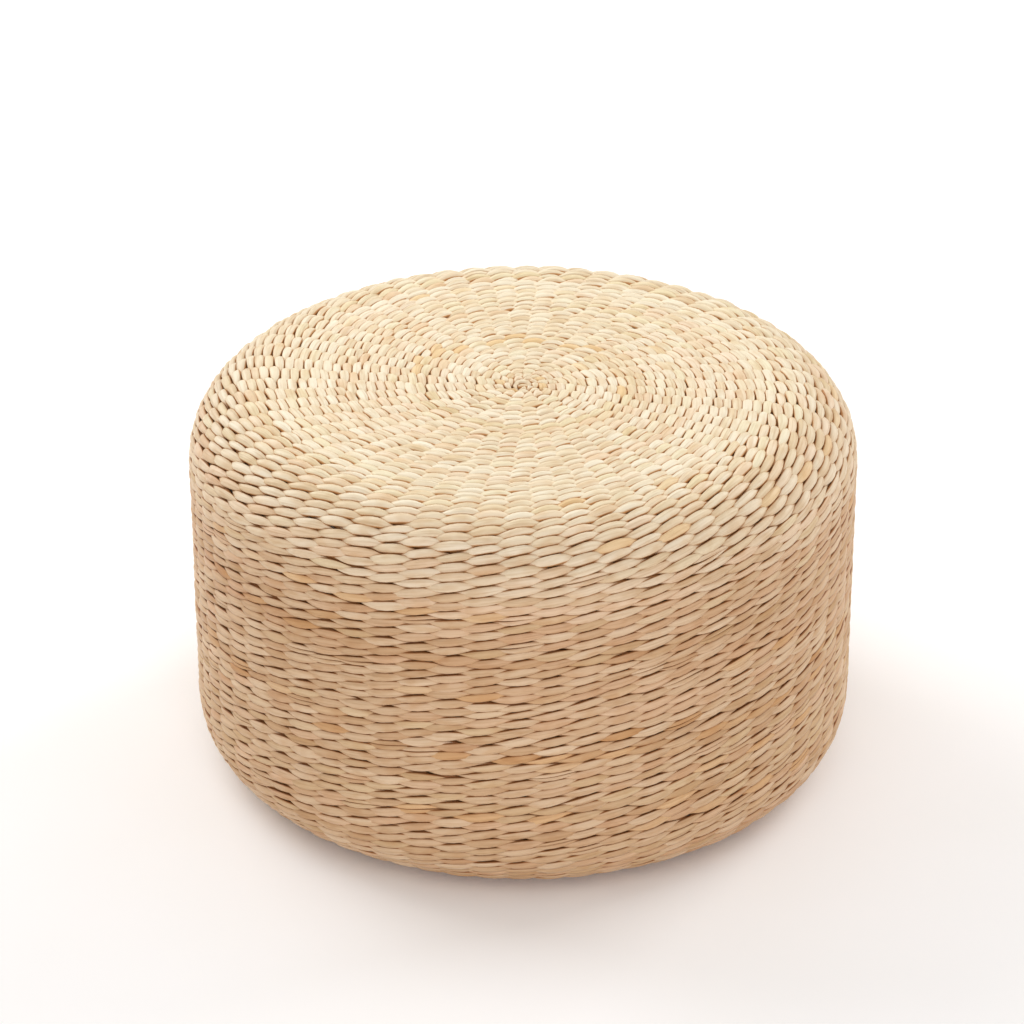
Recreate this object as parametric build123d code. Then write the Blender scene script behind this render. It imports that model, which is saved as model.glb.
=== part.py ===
from build123d import *
import math
import os

# A round woven straw floor seat. Twined straw is worked over straw stakes into a
# drum-shaped cover, and the cover is packed with a soft seat pad on firm core boards.
# The origin is at the middle of the resting face, +Z is up, and sizes are millimetres.

# overall
diameter = 400.0
height = 240.0
shoulder_radius = 44.0          # rounding between the top and the wall
heel_radius = 42.0              # rounding between the wall and the underside

# cover
weave_thickness = 6.0
stake_thickness = 2.4
stake_width = 3.4
stake_sets = 16                 # long stakes from the knot, which the added ones stand between
first_added_start = 30.0        # distances from the centre where stakes are added
second_added_start = 48.0
third_added_start = 68.0
fourth_added_start = 106.0
knot_margin = 2.0               # ring left free round the innermost stake ends
plump_lead = 8.0                # thick courses begin this far inside the shoulder
plump_drop = 24.0               # and end this far below the top
border_width = 14.0             # braid that closes the cover under the seat
base_stake_gap = 2.0            # between the base panel's stakes and the border

# filling
liner_thickness = 1.0
seat_pad_thickness = 42.0
core_board_count = 3

# worked out
outer_radius = diameter / 2
knot_radius = stake_width / 2 / math.tan(math.pi / stake_sets) + knot_margin
plump_inner_radius = outer_radius - shoulder_radius - plump_lead
plump_bottom = height - plump_drop
border_outer = outer_radius - heel_radius
border_inner = border_outer - border_width
stake_outer_inset = weave_thickness
stake_inner_inset = stake_outer_inset + stake_thickness
liner_inner_inset = stake_inner_inset + liner_thickness
filling_height = height - 2 * liner_inner_inset
core_board_thickness = (filling_height - seat_pad_thickness) / core_board_count
places_per_set = 4              # one long stake and the three places between it and the next
stake_places = places_per_set * stake_sets


# each set of stakes: start from the centre, first place round the drum, places to the next
stake_plan = {
    "long_stakes": (knot_radius, 0, places_per_set),
    "added_stakes_1": (first_added_start, 2, 2 * places_per_set),
    "added_stakes_2": (second_added_start, 2 + places_per_set, 2 * places_per_set),
    "added_stakes_3": (third_added_start, 1, places_per_set),
    "added_stakes_4": (fourth_added_start, 3, places_per_set),
}


def disc(radius, low, high):
    """A plain round plate between two heights."""
    plate = Cylinder(radius, high - low, align=(Align.CENTER, Align.CENTER, Align.MIN))
    return Pos(0, 0, low) * plate


def drum(inset):
    """The whole drum with rounded edges, drawn in from the outside by inset."""
    body = disc(outer_radius - inset, inset, height - inset)
    body = fillet(body.edges().group_by(Axis.Z)[-1], shoulder_radius - inset)
    return fillet(body.edges().group_by(Axis.Z)[0], heel_radius - inset)


def shell(outer_inset, inner_inset):
    """A closed drum-shaped skin between two insets."""
    return drum(outer_inset) - drum(inner_inset)


def weave_skin():
    return shell(0, weave_thickness)


def centre_knot():
    """Crossed stake ends bound together, where the weaving starts."""
    return disc(knot_radius, height - weave_thickness, height)


def top_weave():
    """Twined courses of the flat top, from the knot to the first thick course."""
    zone = disc(plump_inner_radius, height - weave_thickness, height)
    return zone - centre_knot()


def shoulder_weave():
    """Thick, rounded courses that carry the cover over the top edge."""
    zone = disc(diameter, plump_bottom, height + weave_thickness)
    return (weave_skin() & zone) - disc(plump_inner_radius, 0, height)


def wall_weave():
    """Flat courses of the wall, down and round the heel to the border braid."""
    zone = disc(diameter, -weave_thickness, plump_bottom)
    return (weave_skin() & zone) - disc(border_outer, -weave_thickness, height / 2)


def border_braid():
    """Braid that turns in the stake ends and joins wall and base panel."""
    return disc(border_outer, 0, weave_thickness) - disc(border_inner, 0, weave_thickness)


def base_knot():
    return disc(knot_radius, 0, weave_thickness)


def base_weave():
    """Twined panel under the seat."""
    return disc(border_inner, 0, weave_thickness) - base_knot()


def cover_stake(start):
    """One flat stake from start on the top, over the edge, down and under the heel."""
    half = height / 2
    upper = Pos((start + diameter) / 2, 0, height * 0.75) * Box(diameter - start, stake_width, half)
    lower = Pos((border_inner + diameter) / 2, 0, half / 2)
    lower = lower * Box(diameter - border_inner, stake_width, half)
    return shell(stake_outer_inset, stake_inner_inset) & (upper + lower)


def base_stake(start):
    """One straight stake of the base panel, from start out to the border."""
    length = border_inner - base_stake_gap - start
    middle = start + length / 2
    level = stake_outer_inset + stake_thickness / 2
    return Pos(middle, 0, level) * Box(length, stake_width, stake_thickness)


def round_set(stake, first_place, every):
    """Copies of one stake round the drum, from a first place and then at every so many."""
    turns = [360.0 * place / stake_places for place in range(first_place, stake_places, every)]
    return [Rot(0, 0, turn) * stake for turn in turns]


def stake_set(make_stake, name):
    """All the stakes of one set: where they start, their first place and how often they come."""
    start, first_place, every = stake_plan[name]
    return round_set(make_stake(start), first_place, every)


def liner():
    """Closed cloth bag that holds the filling."""
    return shell(stake_inner_inset, liner_inner_inset)


def filling_layer(low, high):
    return drum(liner_inner_inset) & disc(diameter, low, high)


def seat_pad():
    """Soft layer right under the top."""
    top = height - liner_inner_inset
    return filling_layer(top - seat_pad_thickness, top)


def core_board(number):
    """One firm board of the core, counted from the bottom."""
    low = liner_inner_inset + number * core_board_thickness
    return filling_layer(low, low + core_board_thickness)


parts = {
    "centre_knot": centre_knot(),
    "top_weave": top_weave(),
    "shoulder_weave": shoulder_weave(),
    "wall_weave": wall_weave(),
    "border_braid": border_braid(),
    "base_weave": base_weave(),
    "base_knot": base_knot(),
    "liner": liner(),
    "seat_pad": seat_pad(),
}
for board in range(core_board_count):
    parts[f"core_board_{board + 1}"] = core_board(board)
base_stakes = []
for set_name in stake_plan:
    parts[set_name] = Compound(children=stake_set(cover_stake, set_name))
    base_stakes += stake_set(base_stake, set_name)
parts["base_stakes"] = Compound(children=base_stakes)

os.makedirs("parts", exist_ok=True)
for name, part in parts.items():
    export_step(part, f"parts/{name}.step")
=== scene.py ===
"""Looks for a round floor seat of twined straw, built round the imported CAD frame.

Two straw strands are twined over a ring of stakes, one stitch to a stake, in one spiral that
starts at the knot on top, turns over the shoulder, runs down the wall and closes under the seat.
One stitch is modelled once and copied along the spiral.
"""

import math

import bpy
import numpy as np
from bpy.props import FloatProperty, FloatVectorProperty, IntProperty, PointerProperty, StringProperty
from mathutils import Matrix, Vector


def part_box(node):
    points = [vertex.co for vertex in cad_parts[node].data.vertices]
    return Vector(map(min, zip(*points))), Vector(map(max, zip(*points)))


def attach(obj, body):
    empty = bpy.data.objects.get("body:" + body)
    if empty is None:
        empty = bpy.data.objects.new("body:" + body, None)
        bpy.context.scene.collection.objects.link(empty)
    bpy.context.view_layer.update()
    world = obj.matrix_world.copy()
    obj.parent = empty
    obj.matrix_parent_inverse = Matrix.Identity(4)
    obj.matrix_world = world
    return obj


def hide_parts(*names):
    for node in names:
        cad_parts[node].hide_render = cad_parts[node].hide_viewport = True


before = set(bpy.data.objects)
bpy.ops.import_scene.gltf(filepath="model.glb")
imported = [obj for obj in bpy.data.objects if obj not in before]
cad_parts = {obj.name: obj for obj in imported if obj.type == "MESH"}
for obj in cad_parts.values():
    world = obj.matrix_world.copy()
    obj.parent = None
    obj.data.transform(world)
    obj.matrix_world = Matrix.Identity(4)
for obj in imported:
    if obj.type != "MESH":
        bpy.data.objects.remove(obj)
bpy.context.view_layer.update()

bl_info = {
    "name": "Twined Straw Floor Seat",
    "version": (1, 0, 0),
    "blender": (4, 5, 0),
    "location": "View3D > Sidebar > Straw Seat",
    "description": "Builds the straw cover, the filling and the studio of a round floor seat",
    "category": "Add Mesh",
}

FULL_TURN = 2 * math.pi
TINY = 1e-6

# Rings along a stitch and corners to its section: on show, and inside the stakes
FRONT_RINGS, FRONT_CORNERS = 9, 8
INNER_RINGS, INNER_CORNERS = 5, 6

# Sizes that follow the frame
KNOT_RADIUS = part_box("centre_knot")[1].x
TOP_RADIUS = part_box("top_weave")[1].x
DRUM_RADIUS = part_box("wall_weave")[1].x
DRUM_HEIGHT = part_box("top_weave")[1].z
PLUMP_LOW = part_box("shoulder_weave")[0].z
BORDER_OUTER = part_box("border_braid")[1].x
BORDER_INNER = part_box("base_weave")[1].x
HEEL_RADIUS = DRUM_RADIUS - BORDER_OUTER
LINER_INSET = DRUM_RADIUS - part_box("liner")[1].x

# Straw that lies on the floor is pressed flat at this height
PRESSED = 0.0001

# The filling: roundings of the pad's upper and lower edges, its crown, and the bag's cloth
PAD_TOP_ROUND, PAD_BOTTOM_ROUND = 0.030, 0.004
PAD_CROWN = 0.0012
CLOTH_THICKNESS = 0.0006
FOLD_DEPTH = 0.0007
FACE_RINGS = (0.03, 0.05)

# The grain map counts in centimetres. A stitch is about so many stake steps long and so far round
GRAIN_UNITS = 100
STITCH_LENGTH = 1.4
STRAND_GIRTH = 0.014

# Each stitch's cell on the bake map: its empty margin, and the room past 1 that the face across the
# strand's seam takes
CELL_MARGIN = 0.04
SEAM_ROOM = 1.13

# The straw turns from bleached to tan between these arc lengths; the tan is partly real and partly painted
# shade for the wall, which gets less light from above than the top
LIGHT_END = 0.160
TAN_AND_SHADE_START = 0.243

# The studio's softboxes: name, place, size, power in watts and colour
SOFTBOXES = (
    ("right_rear_softbox", (1.6, 1.1, 1.3), 1.2, 20.0, "#FFFFFF"),
    ("left_rear_softbox", (-1.6, 1.1, 1.3), 1.2, 12.0, "#FFFFFF"),
    ("near_left_softbox", (-0.9, 0.8, 1.1), 1.0, 7.0, "#FFFFFF"),
    ("front_softbox", (0.2, -2.6, 1.0), 1.2, 17.0, "#FCF6FF"),
    ("upper_front_softbox", (0.0, -1.6, 2.2), 1.2, 5.0, "#FFFFFF"),
)

# Where stakes are added: distance from the centre, and how many there are from there outwards
STAKE_COUNTS = ((0.0, 2), (0.0042, 9), (KNOT_RADIUS, 16), (0.030, 24), (0.048, 32), (0.068, 48), (0.106, 64))


class CoverSizes(bpy.types.PropertyGroup):
    shoulder_radius: FloatProperty(
        name="Shoulder radius", description="Rounding between the top and the wall",
        default=0.044, unit="LENGTH", subtype="DISTANCE")
    knot_pitch: FloatProperty(
        name="Knot course spacing", description="Spacing of the tight courses in the knot",
        default=0.0040, unit="LENGTH", subtype="DISTANCE")
    top_pitch: FloatProperty(
        name="Top course spacing", description="Spacing of the courses on the flat top",
        default=0.0059, unit="LENGTH", subtype="DISTANCE")
    plump_pitch: FloatProperty(
        name="Shoulder course spacing", description="Spacing of the thick courses on the shoulder",
        default=0.0063, unit="LENGTH", subtype="DISTANCE")
    wall_pitch: FloatProperty(
        name="Wall course spacing", description="Spacing of the thin courses on the wall",
        default=0.0057, unit="LENGTH", subtype="DISTANCE")
    top_thickness: FloatProperty(
        name="Top strand thickness", description="Thickness of a strand on the flat top",
        default=0.0036, unit="LENGTH", subtype="DISTANCE")
    plump_thickness: FloatProperty(
        name="Shoulder strand thickness", description="Thickness of a strand on the shoulder",
        default=0.0048, unit="LENGTH", subtype="DISTANCE")
    wall_thickness: FloatProperty(
        name="Wall strand thickness", description="Thickness of a strand on the wall",
        default=0.0026, unit="LENGTH", subtype="DISTANCE")
    knot_thickness: FloatProperty(
        name="Knot strand thickness", description="Thickness of a strand in the two knots",
        default=0.0034, unit="LENGTH", subtype="DISTANCE")
    braid_thickness: FloatProperty(
        name="Border strand thickness", description="Thickness of a strand in the border braid",
        default=0.0045, unit="LENGTH", subtype="DISTANCE")
    base_set_in: FloatProperty(
        name="Base set in", description="How far the base's crowns stay inside its outline",
        default=0.0015, unit="LENGTH", subtype="DISTANCE")
    lean: FloatProperty(
        name="Twist lean", description="How far a stitch climbs across its course, as a share of the spacing",
        default=0.33, min=0.0, max=0.5)
    waviness: FloatProperty(
        name="Course waviness", description="How far the courses wander from level",
        default=0.0008, unit="LENGTH", subtype="DISTANCE")
    seed: IntProperty(
        name="Seed", description="Picks another set of small differences between stitches", default=11)


class StrawColours(bpy.types.PropertyGroup):
    top_light: StringProperty(
        name="Top straw, light", description="sRGB hex of the palest straw on top", default="#F8EFD7")
    top_dark: StringProperty(
        name="Top straw, dark", description="sRGB hex of the darkest straw on top", default="#F1E0BD")
    # painted shade: brown that stands in for the shade where the top straw dives under, on its underside and
    # along the lines where stitches touch
    top_painted_shade: StringProperty(
        name="Top straw, tucked", description="sRGB hex of the top straw where it dives under",
        default="#C8935C")
    # painted shade: brown that stands in for the shade where the wall straw dives under, on its underside and
    # along the lines where stitches touch
    wall_painted_shade: StringProperty(
        name="Wall straw, tucked", description="sRGB hex of the wall straw where it dives under",
        default="#9C6536")
    # the wall's straw colours are darker than the top's partly as painted shade, the wall taking less light
    # from above
    wall_light: StringProperty(
        name="Wall straw, light", description="sRGB hex of the palest straw on the wall", default="#DEC4A4")
    wall_dark: StringProperty(
        name="Wall straw, dark", description="sRGB hex of the darkest straw on the wall", default="#C5A077")
    stake: StringProperty(
        name="Stakes", description="sRGB hex of the stakes inside the weave", default="#8A6338")
    liner: StringProperty(
        name="Liner", description="sRGB hex of the cloth bag inside", default="#A97C4E")
    foam: StringProperty(
        name="Foam", description="sRGB hex of the filling", default="#EFE9D8")


class StageSettings(bpy.types.PropertyGroup):
    floor: StringProperty(
        name="Floor", description="sRGB hex of the studio floor", default="#FDFDFC")
    camera_distance: FloatProperty(
        name="Camera distance", description="From the camera to the middle of the seat",
        default=2.4096, unit="LENGTH", subtype="DISTANCE")
    camera_height_angle: FloatProperty(
        name="Camera height angle", description="Angle of the camera above the middle of the seat",
        default=math.radians(28.85), subtype="ANGLE")
    camera_tilt: FloatProperty(
        name="Camera tilt", description="How far the camera looks down", default=math.radians(28.17),
        subtype="ANGLE")
    lens: FloatProperty(
        name="Lens", description="Focal length in millimetres", default=139.1, subtype="DISTANCE_CAMERA")
    camera_shift: FloatProperty(
        name="Camera shift", description="How far the picture is shifted sideways, in picture widths",
        default=-0.0109)
    light: FloatProperty(
        name="Softboxes", description="Strength of all the softboxes together", default=1.0)
    sky: FloatProperty(
        name="Room light", description="Brightness of the room all round", default=0.60)


def cover():
    return bpy.context.scene.straw_cover


def colours():
    return bpy.context.scene.straw_colours


# ---------------------------------------------------------------- small helpers

def clear_selection():
    if bpy.context.object and bpy.context.object.mode != "OBJECT":
        bpy.ops.object.mode_set(mode="OBJECT")
    bpy.ops.object.select_all(action="DESELECT")


def linear(hex_colour, alpha=1.0):
    """An sRGB hex colour as linear RGBA."""
    parts = [int(hex_colour[i:i + 2], 16) / 255 for i in (1, 3, 5)]
    return [c / 12.92 if c <= 0.04045 else ((c + 0.055) / 1.055) ** 2.4 for c in parts] + [alpha]


def put(piece, slot, *nodes):
    """A finished piece rides on the frame and stands for its CAD nodes."""
    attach(piece, "root")
    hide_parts(*nodes)
    return piece


# ---------------------------------------------------------------- the drum's outline

def outline_lengths():
    """Arc lengths from the middle of the top to the end of each stretch of the outline."""
    shoulder = cover().shoulder_radius
    top = DRUM_RADIUS - shoulder
    over = top + shoulder * math.pi / 2
    down = over + DRUM_HEIGHT - shoulder - HEEL_RADIUS
    under = down + HEEL_RADIUS * math.pi / 2
    return top, over, down, under


def outline(s):
    """Radius, height and outward normal of the outline at arc lengths s, from the top's middle."""
    shoulder = cover().shoulder_radius
    top, over, down, under = outline_lengths()
    turn = np.clip((s - top) / shoulder, 0, math.pi / 2)
    tuck = np.clip((s - down) / HEEL_RADIUS, 0, math.pi / 2)
    flat_part = np.minimum(s, top)
    wall_part = np.clip(s - over, 0, down - over)
    base_part = np.maximum(s - under, 0)
    r = flat_part + shoulder * np.sin(turn) - HEEL_RADIUS * (1 - np.cos(tuck)) - base_part
    z = DRUM_HEIGHT - shoulder * (1 - np.cos(turn)) - wall_part - HEEL_RADIUS * np.sin(tuck)
    return r, z, np.sin(turn) * np.cos(tuck), np.cos(turn) - np.sin(tuck)


def plump_end():
    """Arc length where the thick shoulder courses end."""
    shoulder = cover().shoulder_radius
    drop = DRUM_HEIGHT - PLUMP_LOW
    return outline_lengths()[0] + shoulder * math.acos(1 - drop / shoulder)


def stakes_at(radius):
    return [count for start, count in STAKE_COUNTS if radius >= start][-1]


# ---------------------------------------------------------------- one stitch, modelled once

# How a stitch tapers across and through: how late it starts, and how strongly. Its ends stay blunt.
TAPER_ACROSS, TAPER_THROUGH = (1.9, 1.35), (2.4, 0.8)
END_SIZE = 0.06


def tapered(station, taper):
    """Share of a stitch's full size at a station from -1 to 1 along it."""
    start, speed = taper
    return max(1 - abs(station) ** start, END_SIZE) ** speed


def strand_template(stations, sides):
    """One stitch as a straight closed rod along X from -1 to 1, tapered to both ends, with that
    many rings along it and corners to its section."""
    clear_selection()
    bpy.ops.mesh.primitive_cylinder_add(
        vertices=sides, radius=1, depth=2, end_fill_type="NGON", rotation=(0, math.pi / 2, 0))
    rod = bpy.context.object
    bpy.ops.object.transform_apply(location=True, rotation=True, scale=True)
    corners = rod.data.vertices
    select_parts(rod, "edges", lambda edge: abs(sum(corners[i].co.x for i in edge.vertices)) < TINY)
    bpy.ops.mesh.subdivide(number_cuts=stations - 2)
    for station in np.linspace(-1, 1, stations).tolist():
        select_parts(rod, "vertices", lambda corner: abs(corner.co.x - station) < 0.6 / stations)
        size = (1, tapered(station, TAPER_ACROSS), tapered(station, TAPER_THROUGH))
        bpy.ops.transform.resize(value=size)
    bpy.ops.object.mode_set(mode="OBJECT")
    return rod


SELECT_MODES = {
    "vertices": (True, False, False), "edges": (False, True, False), "polygons": (False, False, True)}


def select_parts(piece, kind, chosen):
    """Goes into edit mode with only those vertices, edges or polygons selected that pass a test."""
    bpy.ops.object.mode_set(mode="OBJECT")
    for part in SELECT_MODES:
        items = getattr(piece.data, part)
        items.foreach_set("select", [part == kind and bool(chosen(item)) for item in items])
    bpy.context.tool_settings.mesh_select_mode = SELECT_MODES[kind]
    bpy.ops.object.mode_set(mode="EDIT")


class Strand:
    """The template's corners and faces as arrays, ready to be copied along a course."""

    def __init__(self, stations, sides):
        rod = strand_template(stations, sides)
        mesh = rod.data
        co = np.zeros(len(mesh.vertices) * 3)
        mesh.vertices.foreach_get("co", co)
        self.co = co.reshape(-1, 3)
        at_ring = np.round(self.co[:, 0], 3)
        self.ring = np.array([np.abs(self.co[at_ring == x, 1]).max() for x in at_ring])
        self.faces = [list(p.vertices) for p in mesh.polygons]
        self.sizes = np.array([len(f) for f in self.faces])
        self.corners = np.concatenate(self.faces)
        self.uv = np.concatenate([self.face_places(f) for f in self.faces])
        bpy.data.objects.remove(rod)

    def face_places(self, face):
        """Places of a face's corners on the unrolled strand: along it and round it, 0 to 1."""
        x, y, z = self.co[face].T
        angle = np.arctan2(z, y)
        if np.ptp(x) > TINY:
            middle = math.atan2(np.sin(angle).sum(), np.cos(angle).sum())
            angle = middle + (angle - middle + math.pi) % FULL_TURN - math.pi
            around = (angle + math.pi) / FULL_TURN
            around -= math.floor(around.mean() * (1 - 1e-9))
            return np.stack([(x + 1) / 2, around], 1)
        tip = 0.02 * np.stack([np.cos(angle), np.sin(angle)], 1)
        return tip + [0.03 if x[0] < 0 else 0.97, 0.5]


# ---------------------------------------------------------------- twining

# How uneven handwork is. Girth, reach and lean vary by a share of themselves, the place along the
# course by a share of the stake step, the place across it by a share of the course spacing, depth by
# a share of the strand's thickness, and roll and twist by radians.
GIRTH_OF_STRAW, GIRTH_OF_STITCH = 0.16, 0.05
ALONG_DRIFT, ALONG_SPREAD = 0.07, 0.035
ACROSS_DRIFT, ACROSS_SPREAD = 0.05, 0.03
REACH_SPREAD, LEAN_SPREAD, DEPTH_SPREAD = 0.05, 0.15, 0.06
ROLL_SPREAD, TWIST_SPREAD = 0.10, 0.22

# Shade: how much of it belongs to the whole length of straw, and how much stitches and halves differ
STRAW_SHADE, STITCH_SHADE = 0.7, 0.3
TINT_SPREAD, TWIN_SHADE_SPREAD = 0.03, 0.05

# Where a stitch is two thin straws, the lower one takes this share of its width
TWIN_SHARE = (0.42, 0.62)
TWIN_OVERLAP = 1.04

# A section's roundness: below 1 fills it out towards a box, across the strand and through it
FULL_ACROSS, FULL_THROUGH = 0.8, 0.85
# How steeply the twist carries a stitch across its course
TWIST_RATE = 0.62


def walk_cover():
    """Places of all stitches along the one spiral, by zone. A place is an angle, an arc length,
    the stake step and the course spacing."""
    sizes = cover()
    under = outline_lengths()[3]
    middle = under + BORDER_OUTER
    braid = BORDER_OUTER - BORDER_INNER
    zones = (
        ("knot", KNOT_RADIUS, sizes.knot_pitch),
        ("top", TOP_RADIUS, sizes.top_pitch),
        ("shoulder", plump_end(), sizes.plump_pitch),
        ("wall", under, sizes.wall_pitch),
        ("border_outer", under + braid / 2, braid / 2),
        ("border_inner", under + braid, braid / 2),
        ("base", middle - KNOT_RADIUS, sizes.top_pitch),
        ("base_knot", middle - sizes.knot_pitch / 2, sizes.knot_pitch),
    )
    angle, s = 0.0, sizes.knot_pitch / 2
    places = {}
    for name, end, pitch in zones:
        rows = []
        while s < end:
            step = FULL_TURN / stakes_at(float(outline(np.array(s))[0]))
            rows.append((angle, s, step, pitch))
            angle += step
            s += pitch * step / FULL_TURN
        places[name] = np.array(rows).T
    return places


def strand_runs(rng, total, shortest, longest):
    """A number from 0 to 1 for each stitch. The two strands take turns, and each length of straw
    lasts for several of its stitches before the next one is laid in."""
    value = np.zeros(total)
    for first in (0, 1):
        at = first
        while at < total:
            length = int(rng.integers(shortest, longest))
            value[at:at + 2 * length:2] = rng.random()
            at += 2 * length
    return value


# The courses' slow waves: how many go round the drum, and how fast each changes from the top down,
# in radians a metre. Added up, they are about so many times as high as one.
WAVES = ((2, 20), (3, 45), (5, 60), (9, 90), (14, 130), (23, 170))
WAVE_HEIGHT = 2.4


def wander(theta, s, size, rng_seed):
    """Slow unevenness of the courses, the same for neighbours."""
    rng = np.random.default_rng(rng_seed)
    total = np.zeros_like(theta)
    for around, along in WAVES:
        phase, other = rng.random(2) * FULL_TURN
        total = total + np.sin(around * theta + phase + along * s) * np.cos(along * s + other)
    return size * total / WAVE_HEIGHT


def drift(rng, total, reach=5):
    """A slowly wandering number along the spiral, about -1 to 1."""
    kernel = np.hanning(2 * reach + 3)
    return np.convolve(rng.normal(0, 1, total), kernel / np.sqrt((kernel ** 2).sum()), "same")


def twine(name, strand, places, thickness, proud, width=1.0, reach=0.96, dip=0.34, lean=None,
          split=0.0, blunt=0.0, crown=2.0, uneven=1.0, inner=False, seed=1):
    """Lays stitches at the places and joins them into one piece.
    thickness is that of a strand, proud how far the crowns stand out of the outline, width the
    stitch's share of the spacing, reach its half length in stake steps, dip how deep it dives
    behind the next stitch as a share of the thickness, split the share of stitches that are two
    thin straws side by side, blunt how much fuller the ends are, crown how flat a stitch stays
    before it dives, and inner marks the half turns inside the stakes, which are painted all over in the
    painted shade colour."""
    settings = cover()
    rng = np.random.default_rng(settings.seed * 100 + seed)
    theta0, s0, step, pitch = places
    total = len(theta0)
    lean = settings.lean if lean is None else lean
    tone = STRAW_SHADE * strand_runs(rng, total, 4, 14) + STITCH_SHADE * rng.random(total)
    tint = np.clip(strand_runs(rng, total, 3, 9) + rng.normal(0, TINT_SPREAD, total), 0, 1)
    girth = GIRTH_OF_STRAW * (strand_runs(rng, total, 3, 10) - 0.5)
    girth = 1 + uneven * (girth + rng.normal(0, GIRTH_OF_STITCH, total))
    moved = ALONG_DRIFT * drift(rng, total) + rng.normal(0, ALONG_SPREAD, total)
    theta0 = theta0 + uneven * moved * step
    moved = ACROSS_DRIFT * drift(rng, total, 3) + rng.normal(0, ACROSS_SPREAD, total)
    s0 = s0 + uneven * moved * pitch

    # some stitches are two thin straws, one above the other
    twins = np.where(rng.random(total) < split)[0]
    share = rng.uniform(*TWIN_SHARE, len(twins))
    order = np.concatenate([np.arange(total), twins])
    narrow = np.ones(len(order))
    narrow[twins] = share
    narrow[total:] = TWIN_OVERLAP - share
    aside = np.zeros(len(order))
    aside[twins] = -(1 - share) * 0.5
    aside[total:] = share * 0.5
    theta0, s0, step, pitch, tone, tint, girth = (
        values[order] for values in (theta0, s0, step, pitch, tone, tint, girth))
    count = len(order)
    tone = np.clip(tone + rng.normal(0, TWIN_SHADE_SPREAD, count), 0, 1)
    reach = reach * (1 + uneven * rng.normal(0, REACH_SPREAD, count))
    roll = rng.normal(0, ROLL_SPREAD, count) * uneven
    twist = rng.normal(0.0, TWIST_SPREAD, count)
    lean = lean * (1 + rng.normal(0, LEAN_SPREAD, count))
    sink = rng.normal(0, DEPTH_SPREAD, count) * thickness

    x, y, z = strand.co.T[:, None]
    y = np.sign(y) * np.abs(y) ** FULL_ACROSS
    z = np.sign(z) * np.abs(z) ** FULL_THROUGH
    across = 0.5 * pitch * width * girth
    along = x * reach[:, None]
    wide = y * strand.ring ** -blunt * (across * narrow)[:, None]
    deep = z * (0.5 * thickness * (0.5 + 0.5 * girth) * (0.7 + 0.3 * narrow))[:, None]
    turn = roll[:, None] + twist[:, None] * x
    side = wide * np.cos(turn) - deep * np.sin(turn)
    out = wide * np.sin(turn) + deep * np.cos(turn)
    theta = theta0[:, None] + along * step[:, None]
    climb = along * step[:, None] / FULL_TURN - lean[:, None] * np.sin(TWIST_RATE * math.pi * along)
    s = s0[:, None] + pitch[:, None] * climb + side + (aside * across * 2)[:, None] * (1 - x * x)
    s = s + wander(theta, s, settings.waviness, settings.seed)
    level = proud - 0.5 * thickness + sink[:, None] + out
    level = level - 2 * dip * thickness * np.abs(np.sin(0.5 * math.pi * along)) ** crown
    r, height, normal_r, normal_z = outline(s)
    radius = r + normal_r * level
    up = np.maximum(height + normal_z * level, PRESSED)
    points = np.stack([radius * np.sin(theta), -radius * np.cos(theta), up], 2)
    # share from the bleached top to the tan wall, whose tan is partly painted shade
    age = np.clip((s0 - LIGHT_END) / (TAN_AND_SHADE_START - LIGHT_END), 0, 1)
    tip = np.abs(x) * np.ones((count, 1))
    co_y, co_z = strand.co.T[1:]
    # flank runs from 0 on the strand's upper side to 1 on its underside; the material paints shade on the
    # underside from it
    flank = np.clip(0.5 - 0.5 * co_z / (np.hypot(co_y, co_z) + 1e-9), 0, 1)[None] * np.ones((count, 1))
    # the half turns inside the stakes take the painted shade colour all over
    if inner:
        flank[:] = 1
    return join_strands(name, strand, points, {"tone": tone, "tint": tint, "age": age},
                        {"tip": tip, "flank": flank}, step * np.maximum(r.mean(1), 0.01), rng)


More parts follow.
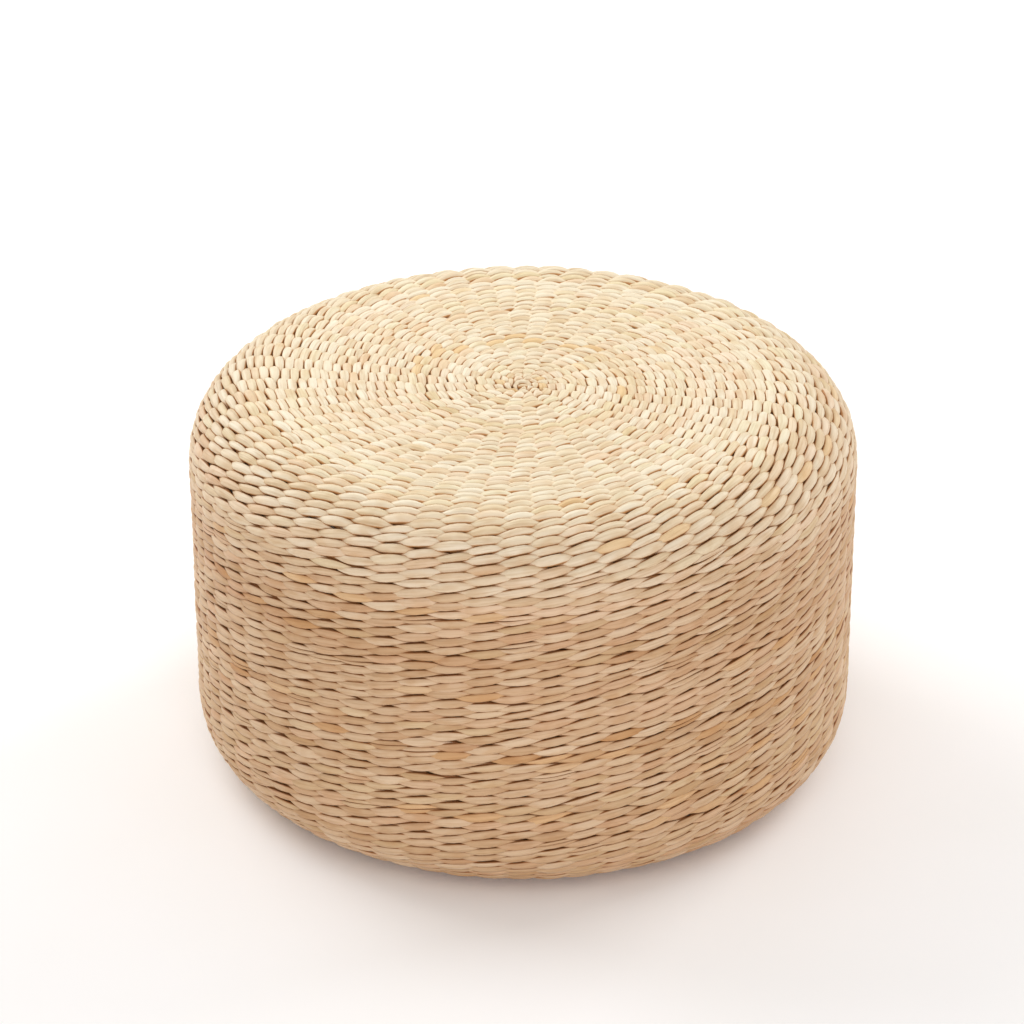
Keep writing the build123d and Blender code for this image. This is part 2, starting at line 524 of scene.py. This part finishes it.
def join_strands(name, strand, points, of_stitch, of_corner, length, rng):
    """One mesh from all the laid stitches, with its maps and its attributes."""
    count, corners_each = len(points), len(strand.co)
    mesh = bpy.data.meshes.new(name)
    mesh.vertices.add(count * corners_each)
    mesh.vertices.foreach_set("co", points.reshape(-1).astype(np.float32))
    loops = (strand.corners[None] + corners_each * np.arange(count)[:, None]).ravel()
    sizes = np.tile(strand.sizes, count)
    mesh.loops.add(len(loops))
    mesh.loops.foreach_set("vertex_index", loops.astype(np.int32))
    mesh.polygons.add(len(sizes))
    mesh.polygons.foreach_set("loop_start", np.concatenate([[0], np.cumsum(sizes)[:-1]]).astype(np.int32))
    mesh.update(calc_edges=True)
    mesh.polygons.foreach_set("use_smooth", [True] * len(sizes))
    # each stitch has its own cell on the bake map, and straw grain at its real size
    across_map = math.ceil(math.sqrt(count / 2))
    down_map = math.ceil(count / across_map)
    cell = np.stack([np.arange(count) % across_map, np.arange(count) // across_map], 1)[:, None]
    inside = CELL_MARGIN + (1 - 2 * CELL_MARGIN) * strand.uv[None] / [1, SEAM_ROOM]
    grid = (cell + inside) / [across_map, down_map]
    real = np.stack([length * STITCH_LENGTH, np.full(count, STRAND_GIRTH)], 1)[:, None]
    grain = strand.uv[None] * real * GRAIN_UNITS + rng.random((count, 1, 2)) * 50
    for layer_name, values in (("OFBake", grid), ("straw_grain", grain)):
        layer = mesh.uv_layers.new(name=layer_name, do_init=False)
        layer.uv.foreach_set("vector", values.reshape(-1).astype(np.float32))
    values = {key: np.repeat(value, corners_each) for key, value in of_stitch.items()} | of_corner
    for key, value in values.items():
        attribute = mesh.attributes.new(key, "FLOAT", "POINT")
        attribute.data.foreach_set("value", np.ravel(value).astype(np.float32))
    mesh.validate()
    piece = bpy.data.objects.new(name, mesh)
    bpy.context.scene.collection.objects.link(piece)
    return piece


# ---------------------------------------------------------------- materials

def add_node(tree, kind, inputs=None, **settings):
    """Adds a node, sets its properties, and sets or links its inputs."""
    node = tree.nodes.new(kind)
    for key, value in settings.items():
        setattr(node, key, value)
    for key, value in (inputs or {}).items():
        if isinstance(value, bpy.types.NodeSocket):
            tree.links.new(value, node.inputs[key])
        else:
            node.inputs[key].default_value = value
    return node


def new_material(name):
    material = bpy.data.materials.new(name)
    material.use_nodes = True
    return material, material.node_tree, material.node_tree.nodes["Principled BSDF"]


def ramp(tree, factor, stops, interpolation="LINEAR"):
    node = add_node(tree, "ShaderNodeValToRGB", {"Fac": factor})
    node.color_ramp.interpolation = interpolation
    while len(node.color_ramp.elements) < len(stops):
        node.color_ramp.elements.new(0.5)
    for element, (place, colour) in zip(node.color_ramp.elements, stops):
        element.position = place
        element.color = linear(colour)
    return node.outputs["Color"]


def twined_straw(name, palette):
    """Dried rush leaf, folded, twisted and twined by hand: satin, finely ribbed along the straw,
    each length its own shade, bleached on top and tan on the wall, the tan partly painted shade,
    and painted brown shade where it tucks under the next stitch, on its underside and along the
    lines where stitches touch, with some dust in those lines."""
    material, tree, shader = new_material(name)
    attribute = {}
    for key in ("tone", "tint", "age", "tip", "flank"):
        attribute[key] = add_node(tree, "ShaderNodeAttribute", attribute_name=key).outputs["Fac"]
    grain = add_node(tree, "ShaderNodeUVMap", uv_map="straw_grain").outputs["UV"]
    ribs_at = add_node(tree, "ShaderNodeMapping", {"Vector": grain, "Scale": (0.35, 9.0, 1.0)})
    ribs = add_node(tree, "ShaderNodeTexNoise",
                    {"Vector": ribs_at.outputs["Vector"], "Scale": 1.0, "Detail": 3.0, "Roughness": 0.6},
                    noise_dimensions="2D").outputs["Fac"]
    blotch_at = add_node(tree, "ShaderNodeMapping", {"Vector": grain, "Scale": (0.8, 1.6, 1.0)})
    blotch = add_node(tree, "ShaderNodeTexNoise",
                      {"Vector": blotch_at.outputs["Vector"], "Scale": 1.0, "Detail": 2.0},
                      noise_dimensions="2D").outputs["Fac"]
    bleached = ramp(tree, attribute["tone"], [(0.0, palette.top_dark), (0.7, palette.top_light)])
    # tan wall colour, partly real tan and partly painted shade
    tan = ramp(tree, attribute["tone"], [(0.0, palette.wall_dark), (1.0, palette.wall_light)])
    base = mix(tree, "MIX", attribute["age"], bleached, tan)
    tinted = ramp(tree, attribute["tint"], [
        (0.0, "#FFFFFF"), (0.45, "#FFFFFF"), (0.62, "#FFF6F2"), (0.74, "#FFFFFF"), (0.84, "#FCFCF2"),
        (0.95, "#FFFFFF"), (0.985, "#FDF4E4"), (1.0, "#FCECD3")])
    base = mix(tree, "MULTIPLY", 1.0, base, tinted)
    rib_shade = ramp(tree, ribs, [(0.25, "#DDCFBD"), (0.5, "#F8F4EE"), (0.75, "#FFFFFF")])
    base = mix(tree, "MULTIPLY", 0.7, base, rib_shade)
    blotch_shade = ramp(tree, blotch, [(0.3, "#EBD9C2"), (0.55, "#FFFFFF")])
    base = mix(tree, "MULTIPLY", 0.55, base, blotch_shade)
    # painted shade colour, blended from the top's to the wall's
    painted_shade = mix(tree, "MIX", attribute["age"], linear(palette.top_painted_shade), linear(palette.wall_painted_shade))
    # painted shade at both ends of each stitch, where it dives under the next one
    deep = ramp(tree, attribute["tip"], [(0.0, "#000000"), (0.80, "#000000"), (1.0, "#FFFFFF")])
    base = mix(tree, "MIX", deep, base, painted_shade)
    # painted shade on the underside of the strand's section
    under = ramp(tree, attribute["flank"], [(0.0, "#000000"), (0.27, "#000000"), (0.41, "#FFFFFF")])
    base = mix(tree, "MIX", under, base, painted_shade)
    # dust and painted shade along the lines where stitches touch: an occlusion test darkens the straw there
    # to the painted shade colour
    touch = add_node(tree, "ShaderNodeAmbientOcclusion", {"Distance": 0.0016}, samples=6).outputs["AO"]
    crease_dust_and_shade = ramp(tree, touch, [(0.36, "#FFFFFF"), (0.80, "#000000")])
    base = mix(tree, "MIX", crease_dust_and_shade, base, painted_shade)
    tree.links.new(base, shader.inputs["Base Color"])
    rough = add_node(tree, "ShaderNodeMapRange", {"Value": ribs, "To Min": 0.42, "To Max": 0.62})
    tree.links.new(rough.outputs["Result"], shader.inputs["Roughness"])
    bump = add_node(tree, "ShaderNodeBump", {"Height": ribs, "Strength": 0.5, "Distance": 0.0004})
    tree.links.new(bump.outputs["Normal"], shader.inputs["Normal"])
    shader.inputs["IOR"].default_value = 1.45
    return material


def mix(tree, blend, factor, first, second):
    node = add_node(tree, "ShaderNodeMix", data_type="RGBA", blend_type=blend)
    for socket, value in ((node.inputs[0], factor), (node.inputs[6], first), (node.inputs[7], second)):
        if isinstance(value, bpy.types.NodeSocket):
            tree.links.new(value, socket)
        else:
            socket.default_value = value
    return node.outputs[2]


def stake_straw(name, colour):
    """Twisted straw stake: matt, dark, with a coarse grain."""
    material, tree, shader = new_material(name)
    place = add_node(tree, "ShaderNodeTexCoord").outputs["Object"]
    grain = add_node(tree, "ShaderNodeTexNoise",
                     {"Vector": place, "Scale": 900.0, "Detail": 3.0}).outputs["Fac"]
    shade = ramp(tree, grain, [(0.3, "#5E4123"), (0.7, colour)])
    tree.links.new(shade, shader.inputs["Base Color"])
    shader.inputs["Roughness"].default_value = 0.75
    return material


def liner_cloth(name, colour):
    """Tan non-woven cloth of the bag: matt felted fibres."""
    material, tree, shader = new_material(name)
    place = add_node(tree, "ShaderNodeTexCoord").outputs["Object"]
    felt = add_node(tree, "ShaderNodeTexNoise",
                    {"Vector": place, "Scale": 1400.0, "Detail": 4.0}).outputs["Fac"]
    shade = ramp(tree, felt, [(0.35, "#8C6238"), (0.65, colour)])
    tree.links.new(shade, shader.inputs["Base Color"])
    bump = add_node(tree, "ShaderNodeBump", {"Height": felt, "Strength": 0.3, "Distance": 0.0003})
    tree.links.new(bump.outputs["Normal"], shader.inputs["Normal"])
    shader.inputs["Roughness"].default_value = 0.9
    return material


def foam(name, colour, cell):
    """Foam of the filling: matt, with cells of about the given size."""
    material, tree, shader = new_material(name)
    place = add_node(tree, "ShaderNodeTexCoord").outputs["Object"]
    cells = add_node(tree, "ShaderNodeTexVoronoi", {"Vector": place, "Scale": 1 / cell}).outputs["Distance"]
    shade = ramp(tree, cells, [(0.0, "#CFC6AE"), (0.5, colour)])
    tree.links.new(shade, shader.inputs["Base Color"])
    bump = add_node(tree, "ShaderNodeBump", {"Height": cells, "Strength": 0.4, "Distance": cell / 2})
    tree.links.new(bump.outputs["Normal"], shader.inputs["Normal"])
    shader.inputs["Roughness"].default_value = 0.85
    return material


def studio_floor(name, colour):
    """Painted studio floor: matt, with a faint mottle."""
    material, tree, shader = new_material(name)
    place = add_node(tree, "ShaderNodeTexCoord").outputs["Object"]
    mottle = add_node(tree, "ShaderNodeTexNoise",
                      {"Vector": place, "Scale": 6.0, "Detail": 2.0}).outputs["Fac"]
    shade = ramp(tree, mottle, [(0.3, colour), (0.7, "#FFFFFF")])
    tree.links.new(shade, shader.inputs["Base Color"])
    shader.inputs["Roughness"].default_value = 0.8
    return material


def paint(piece, material):
    piece.data.materials.clear()
    piece.data.materials.append(material)


# ---------------------------------------------------------------- operators

made = {}


def get_strand(kind="front"):
    """The full stitch, or the plain one for the half turns hidden behind the stakes."""
    if kind not in made:
        front = kind == "front"
        made[kind] = Strand(FRONT_RINGS, FRONT_CORNERS) if front else Strand(INNER_RINGS, INNER_CORNERS)
    return made[kind]


# The half turns inside the stakes: how thick and how far in they are, as shares of the strand, and
# their look, which paints them all over in the painted shade colour
INNER_THICKNESS, INNER_DEPTH = 0.9, 0.95
INNER_LOOK = {"width": 1.15, "reach": 0.9, "dip": -0.1, "lean": -0.2, "uneven": 0.3, "inner": True}
INNER_SEED = 50


def weave(name, slot, node, places, thickness, proud=0.0, seed=1, **look):
    """The front half turns of a zone, and behind them the half turns that pass inside the stakes."""
    front = twine(name + "_front_turns", get_strand(), places, thickness, proud, seed=seed, **look)
    behind = twine(name + "_inner_turns", get_strand("inner"), places, thickness * INNER_THICKNESS,
                   proud - thickness * INNER_DEPTH, seed=seed + INNER_SEED, **INNER_LOOK)
    for piece in (front, behind):
        paint(piece, get_material("straw"))
        put(piece, slot, node)


def get_places(zone):
    if "places" not in made:
        made["places"] = walk_cover()
    return made["places"][zone]


def get_material(key):
    if key not in made:
        palette = colours()
        makers = {
            "straw": lambda: twined_straw("twined_rush_straw", palette),
            "stake": lambda: stake_straw("twisted_straw_stake", palette.stake),
            "liner": lambda: liner_cloth("nonwoven_liner_cloth", palette.liner),
            "soft": lambda: foam("open_cell_foam", palette.foam, 0.0016),
            "firm": lambda: foam("expanded_foam_board", "#F4F3EE", 0.0035),
        }
        made[key] = makers[key]()
    return made[key]


class STRAW_OT_knot(bpy.types.Operator):
    """Binds the crossed stake ends where the weaving starts"""
    bl_idname = "straw.tie_knot"
    bl_label = "Tie the knot"

    def execute(self, context):
        weave("centre_knot", "top_straw", "centre_knot", get_places("knot"), cover().knot_thickness,
              lean=0.28, seed=31)
        return {"FINISHED"}


class STRAW_OT_top(bpy.types.Operator):
    """Twines the flat top from the knot to the first thick course"""
    bl_idname = "straw.weave_top"
    bl_label = "Weave the top"

    def execute(self, context):
        weave("top_weave", "top_straw", "top_weave", get_places("top"), cover().top_thickness,
              width=1.08, lean=0.22, dip=0.30, blunt=0.45, crown=3.2, uneven=0.7, seed=1)
        return {"FINISHED"}


class STRAW_OT_shoulder(bpy.types.Operator):
    """Twines the thick courses over the top edge"""
    bl_idname = "straw.weave_shoulder"
    bl_label = "Weave the shoulder"

    def execute(self, context):
        weave("shoulder_weave", "top_straw", "shoulder_weave", get_places("shoulder"),
              cover().plump_thickness, 0.0003, width=1.04, lean=0.34, dip=0.32, blunt=0.1, crown=2.3,
              uneven=0.8, seed=2)
        return {"FINISHED"}


class STRAW_OT_wall(bpy.types.Operator):
    """Twines the flat courses of the wall in three bands, down to the border"""
    bl_idname = "straw.weave_wall"
    bl_label = "Weave the wall"

    def execute(self, context):
        places = get_places("wall")
        for part, band in enumerate(np.array_split(np.arange(places.shape[1]), 3)):
            name = ("wall_upper", "wall_middle", "wall_lower")[part]
            weave(name, "wall_straw", "wall_weave", places[:, band], cover().wall_thickness,
                  width=1.03, dip=0.30, split=0.05, lean=0.32, crown=2.5, seed=3 + part)
        return {"FINISHED"}


class STRAW_OT_base(bpy.types.Operator):
    """Twines the panel under the seat, its border braid and its knot"""
    bl_idname = "straw.weave_base"
    bl_label = "Weave the base"

    def execute(self, context):
        sizes = cover()
        flat = -sizes.base_set_in
        # the two courses of the braid lean opposite ways
        for side, lean, seed in (("outer", 0.32, 21), ("inner", -0.32, 22)):
            weave("border_" + side, "wall_straw", "border_braid", get_places("border_" + side),
                  sizes.braid_thickness, flat, lean=lean, seed=seed)
        weave("base_weave", "wall_straw", "base_weave", get_places("base"), sizes.wall_thickness, flat,
              dip=0.30, seed=23)
        weave("base_knot", "wall_straw", "base_knot", get_places("base_knot"), sizes.knot_thickness,
              flat, seed=24)
        return {"FINISHED"}


class STRAW_OT_inside(bpy.types.Operator):
    """Dresses the stakes and the foam boards of the filling"""
    bl_idname = "straw.dress_inside"
    bl_label = "Dress the inside"

    def execute(self, context):
        for name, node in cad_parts.items():
            if "stakes" in name:
                paint(node, get_material("stake"))
            if name.startswith("core_board"):
                paint(node, get_material("firm"))
        return {"FINISHED"}


class STRAW_OT_filling(bpy.types.Operator):
    """Makes the soft foam pad under the top and the cloth bag round the filling"""
    bl_idname = "straw.make_filling"
    bl_label = "Make the filling"

    def execute(self, context):
        low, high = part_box("seat_pad")
        pad = rounded_drum("seat_pad_foam", low, high, PAD_TOP_ROUND, PAD_BOTTOM_ROUND)
        crown_face(pad, high.z, PAD_CROWN)
        add_modifier(pad, "SUBSURF", levels=2, render_levels=2)
        paint(pad, get_material("soft"))
        put(pad, "soft_foam", "seat_pad")
        low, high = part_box("liner")
        bag = rounded_drum("liner_bag", low, high, cover().shoulder_radius - LINER_INSET,
                           HEEL_RADIUS - LINER_INSET)
        add_modifier(bag, "SUBSURF", levels=2, render_levels=2)
        pucker_cloth(bag)
        add_modifier(bag, "SOLIDIFY", thickness=CLOTH_THICKNESS, offset=-1)
        paint(bag, get_material("liner"))
        put(bag, "liner_cloth", "liner")
        return {"FINISHED"}


def rounded_drum(name, low, high, top_round, bottom_round):
    """A drum between two corners, with its upper and lower edges rounded."""
    clear_selection()
    bpy.ops.mesh.primitive_cylinder_add(
        vertices=64, radius=high.x, depth=high.z - low.z, location=(0, 0, (low.z + high.z) / 2))
    drum = bpy.context.object
    drum.name = drum.data.name = name
    bpy.ops.object.transform_apply(location=True, rotation=True, scale=True)
    for level, size in ((high.z, top_round), (low.z, bottom_round)):
        corners = drum.data.vertices
        select_parts(drum, "edges", lambda edge: all(
            abs(corners[i].co.z - level) < TINY for i in edge.vertices))
        bpy.ops.mesh.bevel(offset=size, segments=6, profile=0.5)
        bpy.ops.object.mode_set(mode="OBJECT")
    for level in (high.z, low.z):
        select_parts(drum, "polygons", lambda face: abs(face.center.z - level) < TINY
                     and abs(face.normal.z) > 0.99)
        for width in FACE_RINGS:
            bpy.ops.mesh.inset(thickness=width)
        bpy.ops.mesh.poke()
        bpy.ops.object.mode_set(mode="OBJECT")
    bpy.ops.object.shade_smooth()
    return drum


def crown_face(piece, level, drop):
    """Crowns the flat face at a level: its middle stays there and it drops towards its rim."""
    for corner in piece.data.vertices:
        if abs(corner.co.z - level) < TINY:
            corner.co.z -= drop * min(1, corner.co.xy.length / (0.8 * DRUM_RADIUS))


def add_modifier(piece, kind, **settings):
    clear_selection()
    bpy.context.view_layer.objects.active = piece
    modifier = piece.modifiers.new(kind.lower(), kind)
    for key, value in settings.items():
        setattr(modifier, key, value)
    bpy.ops.object.modifier_apply(modifier=modifier.name)


def pucker_cloth(bag):
    """Small upright folds, deepest on the wall between the two sewn rings."""
    low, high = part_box("liner")
    for corner in bag.data.vertices:
        angle = math.atan2(corner.co.x, -corner.co.y)
        share = (corner.co.z - low.z) / (high.z - low.z)
        depth = max(0.0, math.sin(math.pi * share)) * FOLD_DEPTH
        fold = math.sin(17 * angle) + 0.6 * math.sin(31 * angle + 9 * share) + 0.4 * math.sin(53 * angle)
        outward = corner.co.xy.normalized() if corner.co.xy.length > 1e-4 else corner.co.xy
        corner.co.xy += outward * depth * (fold / 2 - 0.6)


class STRAW_OT_stage(bpy.types.Operator):
    """Sets the pale floor, the soft lights and the camera"""
    bl_idname = "straw.set_stage"
    bl_label = "Set the stage"

    def execute(self, context):
        settings = bpy.context.scene.straw_stage
        clear_selection()
        bpy.ops.mesh.primitive_plane_add(size=30, location=(0, 0, 0))
        floor = bpy.context.object
        floor.name = "studio_floor"
        paint(floor, studio_floor("painted_studio_floor", settings.floor))
        for name, place, size, power, colour in SOFTBOXES:
            add_softbox(name, place, size, power * settings.light, colour)
        world = bpy.data.worlds.new("studio_room")
        world.use_nodes = True
        world.node_tree.nodes["Background"].inputs["Color"].default_value = linear("#FFFCF9")
        world.node_tree.nodes["Background"].inputs["Strength"].default_value = settings.sky
        bpy.context.scene.world = world
        add_camera(settings)
        bpy.context.scene.view_settings.view_transform = "Standard"
        return {"FINISHED"}


def add_softbox(name, place, size, power, colour):
    """A square area light that faces the seat."""
    bpy.ops.object.light_add(type="AREA", location=place)
    light = bpy.context.object
    light.name = name
    light.data.size = size
    light.data.energy = power
    light.data.color = linear(colour)[:3]
    to_seat = Vector((0, 0, DRUM_HEIGHT / 2)) - Vector(place)
    light.rotation_euler = to_seat.to_track_quat("-Z", "Y").to_euler()


def add_camera(settings):
    up = settings.camera_distance * math.sin(settings.camera_height_angle) + DRUM_HEIGHT / 2
    back = settings.camera_distance * math.cos(settings.camera_height_angle)
    bpy.ops.object.camera_add(location=(0, -back, up), rotation=(math.pi / 2 - settings.camera_tilt, 0, 0))
    camera = bpy.context.object
    camera.data.lens = settings.lens
    camera.data.sensor_width = 36  # millimetres, as the lens is
    camera.data.shift_x = settings.camera_shift
    bpy.context.scene.camera = camera


STEPS = (STRAW_OT_knot, STRAW_OT_top, STRAW_OT_shoulder, STRAW_OT_wall, STRAW_OT_base,
         STRAW_OT_inside, STRAW_OT_filling, STRAW_OT_stage)


class STRAW_PT_panel(bpy.types.Panel):
    bl_label = "Straw Seat"
    bl_idname = "STRAW_PT_panel"
    bl_space_type = "VIEW_3D"
    bl_region_type = "UI"
    bl_category = "Straw Seat"

    def draw(self, context):
        for step in STEPS:
            self.layout.operator(step.bl_idname)
        for settings in (context.scene.straw_cover, context.scene.straw_colours, context.scene.straw_stage):
            box = self.layout.box()
            for key in settings.__annotations__:
                box.prop(settings, key)


CLASSES = (CoverSizes, StrawColours, StageSettings) + STEPS + (STRAW_PT_panel,)


def register():
    for item in CLASSES:
        bpy.utils.register_class(item)
    bpy.types.Scene.straw_cover = PointerProperty(type=CoverSizes)
    bpy.types.Scene.straw_colours = PointerProperty(type=StrawColours)
    bpy.types.Scene.straw_stage = PointerProperty(type=StageSettings)


def unregister():
    del bpy.types.Scene.straw_stage
    del bpy.types.Scene.straw_colours
    del bpy.types.Scene.straw_cover
    for item in reversed(CLASSES):
        bpy.utils.unregister_class(item)


def main():
    register()
    for step in STEPS:
        group, action = step.bl_idname.split(".")
        getattr(getattr(bpy.ops, group), action)()


if __name__ == "__main__":
    main()
